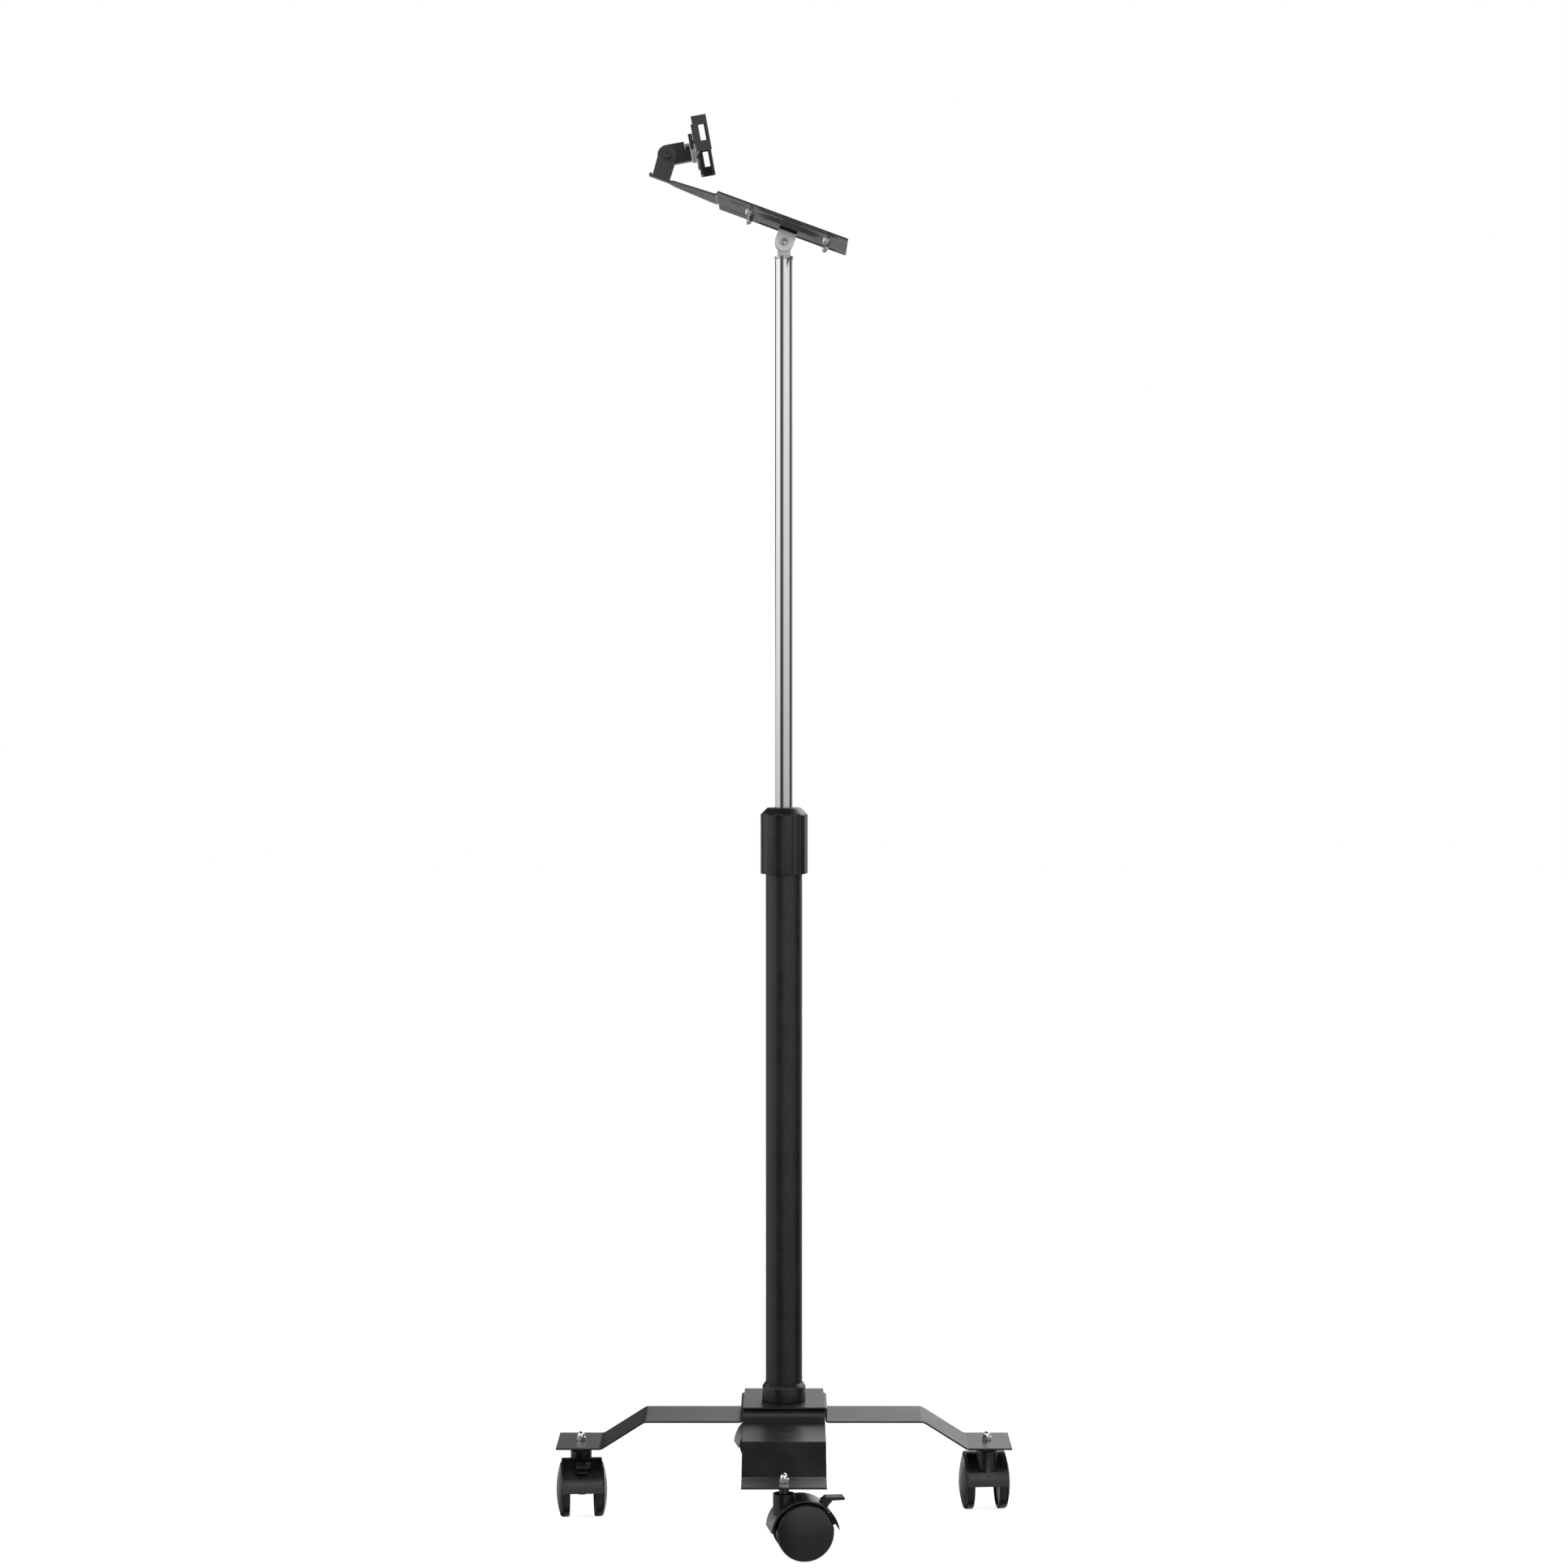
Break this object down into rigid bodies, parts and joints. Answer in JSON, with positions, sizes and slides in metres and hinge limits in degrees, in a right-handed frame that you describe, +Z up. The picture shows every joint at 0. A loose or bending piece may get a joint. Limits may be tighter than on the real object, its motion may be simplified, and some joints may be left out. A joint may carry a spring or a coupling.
{
  "type": "rolling display floor stand",
  "caption": "Cross-based floor stand on swivel casters, with a telescoping mast, a tilting slotted tray and a sliding rear arm that carries a tilting jaw holder.",
  "frame": {"origin": "on the floor, under the middle of the base cross and on the mast's axis", "axes": "+Z up along the mast, +X to the tray's front edge, which tilts down, -X to the display holder; one base strap runs along X and the other along Y"},
  "size_m": [0.5616, 0.56, 1.7052],
  "materials": {
    "black_coat": "semi-gloss black powder coat with a fine orange peel",
    "black_plastic": "smooth moulded black nylon",
    "grey_plastic": "satin moulded dark grey nylon",
    "polished_steel": "bright chrome plate",
    "satin_steel": "zinc-plated steel, satin",
    "dark_steel": "black-oxide steel",
    "rubber": "soft matte rubber lining"
  },
  "bodies": {
    "base": {"base_strap_lower": "black_coat", "base_strap_upper": "black_coat", "hub_spreader_plate": "dark_steel", "column_bolt": "satin_steel", "column_tube": "black_coat", "column_foot_collar": "black_plastic", "column_bush": "grey_plastic", "caster_front_stem": "dark_steel", "caster_right_stem": "dark_steel", "caster_rear_stem": "dark_steel", "caster_left_stem": "dark_steel", "caster_front_nut": "polished_steel", "caster_right_nut": "polished_steel", "caster_rear_nut": "polished_steel", "caster_left_nut": "polished_steel"},
    "twist_lock": {"lock_collar": "grey_plastic"},
    "mast_guide": {"mast_foot_guide": "grey_plastic"},
    "mast": {"mast_pole": "polished_steel", "mast_cap": "satin_steel"},
    "tilt_head": {"tilt_clevis": "satin_steel", "pivot_bolt": "satin_steel", "pivot_nut": "satin_steel", "tray_plate": "black_coat", "tray_bridge_plate": "dark_steel", "front_nut_near": "polished_steel", "front_nut_far": "polished_steel"},
    "rear_slide": {"rear_arm": "black_coat", "rear_nut_near": "polished_steel", "rear_nut_far": "polished_steel", "hinge_screw": "dark_steel", "hinge_nut": "dark_steel"},
    "holder": {"holder_knuckle": "black_coat", "holder_standoff": "polished_steel", "holder_bar": "black_coat"},
    "near_jaw": {"jaw_near": "black_coat", "jaw_pad_near": "rubber"},
    "far_jaw": {"jaw_far": "black_coat", "jaw_pad_far": "rubber"},
    "front_swivel": {"caster_front_hood": "black_plastic", "caster_front_axle": "satin_steel"},
    "front_roller_a": {"caster_front_wheel_a": "black_plastic"},
    "front_roller_b": {"caster_front_wheel_b": "black_plastic"},
    "front_brake": {"caster_front_pedal": "black_plastic"},
    "right_swivel": {"caster_right_hood": "black_plastic", "caster_right_axle": "satin_steel"},
    "right_roller_a": {"caster_right_wheel_a": "black_plastic"},
    "right_roller_b": {"caster_right_wheel_b": "black_plastic"},
    "right_brake": {"caster_right_pedal": "black_plastic"},
    "rear_swivel": {"caster_rear_hood": "black_plastic", "caster_rear_axle": "satin_steel"},
    "rear_roller_a": {"caster_rear_wheel_a": "black_plastic"},
    "rear_roller_b": {"caster_rear_wheel_b": "black_plastic"},
    "rear_brake": {"caster_rear_pedal": "black_plastic"},
    "left_swivel": {"caster_left_hood": "black_plastic", "caster_left_axle": "satin_steel"},
    "left_roller_a": {"caster_left_wheel_a": "black_plastic"},
    "left_roller_b": {"caster_left_wheel_b": "black_plastic"},
    "left_brake": {"caster_left_pedal": "black_plastic"}
  },
  "joints": [
    {"name": "lock_twist", "type": "hinge", "parent": "base", "child": "twist_lock", "pos_m": [0, 0, 0.83], "axis": [0, 0, 1], "range_deg": [0, 90]},
    {"name": "mast_height", "type": "slide", "parent": "base", "child": "mast_guide", "axis": [0, 0, 1], "range_m": [-0.55, 0.035]},
    {"name": "mast_turn", "type": "hinge", "parent": "mast_guide", "child": "mast", "pos_m": [0, 0, 1], "axis": [0, 0, 1], "continuous": true},
    {"name": "tray_tilt", "type": "hinge", "parent": "mast", "child": "tilt_head", "pos_m": [0, 0, 1.5659], "axis": [0, 1, 0], "range_deg": [-60, 60]},
    {"name": "rear_arm_reach", "type": "slide", "parent": "tilt_head", "child": "rear_slide", "axis": [-0.9391, 0, 0.3437], "range_m": [0, 0.024]},
    {"name": "holder_tilt", "type": "hinge", "parent": "rear_slide", "child": "holder", "pos_m": [-0.14248, 0, 1.67182], "axis": [0, 1, 0], "range_deg": [-50, 60]},
    {"name": "near_jaw_reach", "type": "slide", "parent": "holder", "child": "near_jaw", "axis": [0, -1, 0], "range_m": [-0.012, 0.03]},
    {"name": "far_jaw_reach", "type": "slide", "parent": "holder", "child": "far_jaw", "axis": [0, 1, 0], "range_m": [-0.012, 0.03]},
    {"name": "front_swivel_turn", "type": "hinge", "parent": "base", "child": "front_swivel", "pos_m": [0, -0.251, 0.06], "axis": [0, 0, 1], "continuous": true},
    {"name": "front_roll_a", "type": "hinge", "parent": "front_swivel", "child": "front_roller_a", "pos_m": [0.02198, -0.24791, 0.034], "axis": [-0.1392, 0.9903, 0], "continuous": true},
    {"name": "front_roll_b", "type": "hinge", "parent": "front_swivel", "child": "front_roller_b", "pos_m": [0.02198, -0.24791, 0.034], "axis": [-0.1392, 0.9903, 0], "continuous": true},
    {"name": "front_brake_press", "type": "hinge", "parent": "front_swivel", "child": "front_brake", "pos_m": [0.04743, -0.24433, 0.0564], "axis": [-0.1392, 0.9903, 0], "range_deg": [0, 12]},
    {"name": "right_swivel_turn", "type": "hinge", "parent": "base", "child": "right_swivel", "pos_m": [0.251, 0, 0.06], "axis": [0, 0, 1], "continuous": true},
    {"name": "right_roll_a", "type": "hinge", "parent": "right_swivel", "child": "right_roller_a", "pos_m": [0.24914, 0.02212, 0.034], "axis": [-0.9965, -0.0837, 0], "continuous": true},
    {"name": "right_roll_b", "type": "hinge", "parent": "right_swivel", "child": "right_roller_b", "pos_m": [0.24914, 0.02212, 0.034], "axis": [-0.9965, -0.0837, 0], "continuous": true},
    {"name": "right_brake_press", "type": "hinge", "parent": "right_swivel", "child": "right_brake", "pos_m": [0.24699, 0.04773, 0.0564], "axis": [-0.9965, -0.0837, 0], "range_deg": [0, 12]},
    {"name": "rear_swivel_turn", "type": "hinge", "parent": "base", "child": "rear_swivel", "pos_m": [0, 0.251, 0.06], "axis": [0, 0, 1], "continuous": true},
    {"name": "rear_roll_a", "type": "hinge", "parent": "rear_swivel", "child": "rear_roller_a", "pos_m": [-0.02198, 0.24791, 0.034], "axis": [0.1392, -0.9903, 0], "continuous": true},
    {"name": "rear_roll_b", "type": "hinge", "parent": "rear_swivel", "child": "rear_roller_b", "pos_m": [-0.02198, 0.24791, 0.034], "axis": [0.1392, -0.9903, 0], "continuous": true},
    {"name": "rear_brake_press", "type": "hinge", "parent": "rear_swivel", "child": "rear_brake", "pos_m": [-0.04743, 0.24433, 0.0564], "axis": [0.1392, -0.9903, 0], "range_deg": [0, 12]},
    {"name": "left_swivel_turn", "type": "hinge", "parent": "base", "child": "left_swivel", "pos_m": [-0.251, 0, 0.06], "axis": [0, 0, 1], "continuous": true},
    {"name": "left_roll_a", "type": "hinge", "parent": "left_swivel", "child": "left_roller_a", "pos_m": [-0.24914, -0.02212, 0.034], "axis": [0.9965, 0.0837, 0], "continuous": true},
    {"name": "left_roll_b", "type": "hinge", "parent": "left_swivel", "child": "left_roller_b", "pos_m": [-0.24914, -0.02212, 0.034], "axis": [0.9965, 0.0837, 0], "continuous": true},
    {"name": "left_brake_press", "type": "hinge", "parent": "left_swivel", "child": "left_brake", "pos_m": [-0.24699, -0.04773, 0.0564], "axis": [0.9965, 0.0837, 0], "range_deg": [0, 12]}
  ]
}
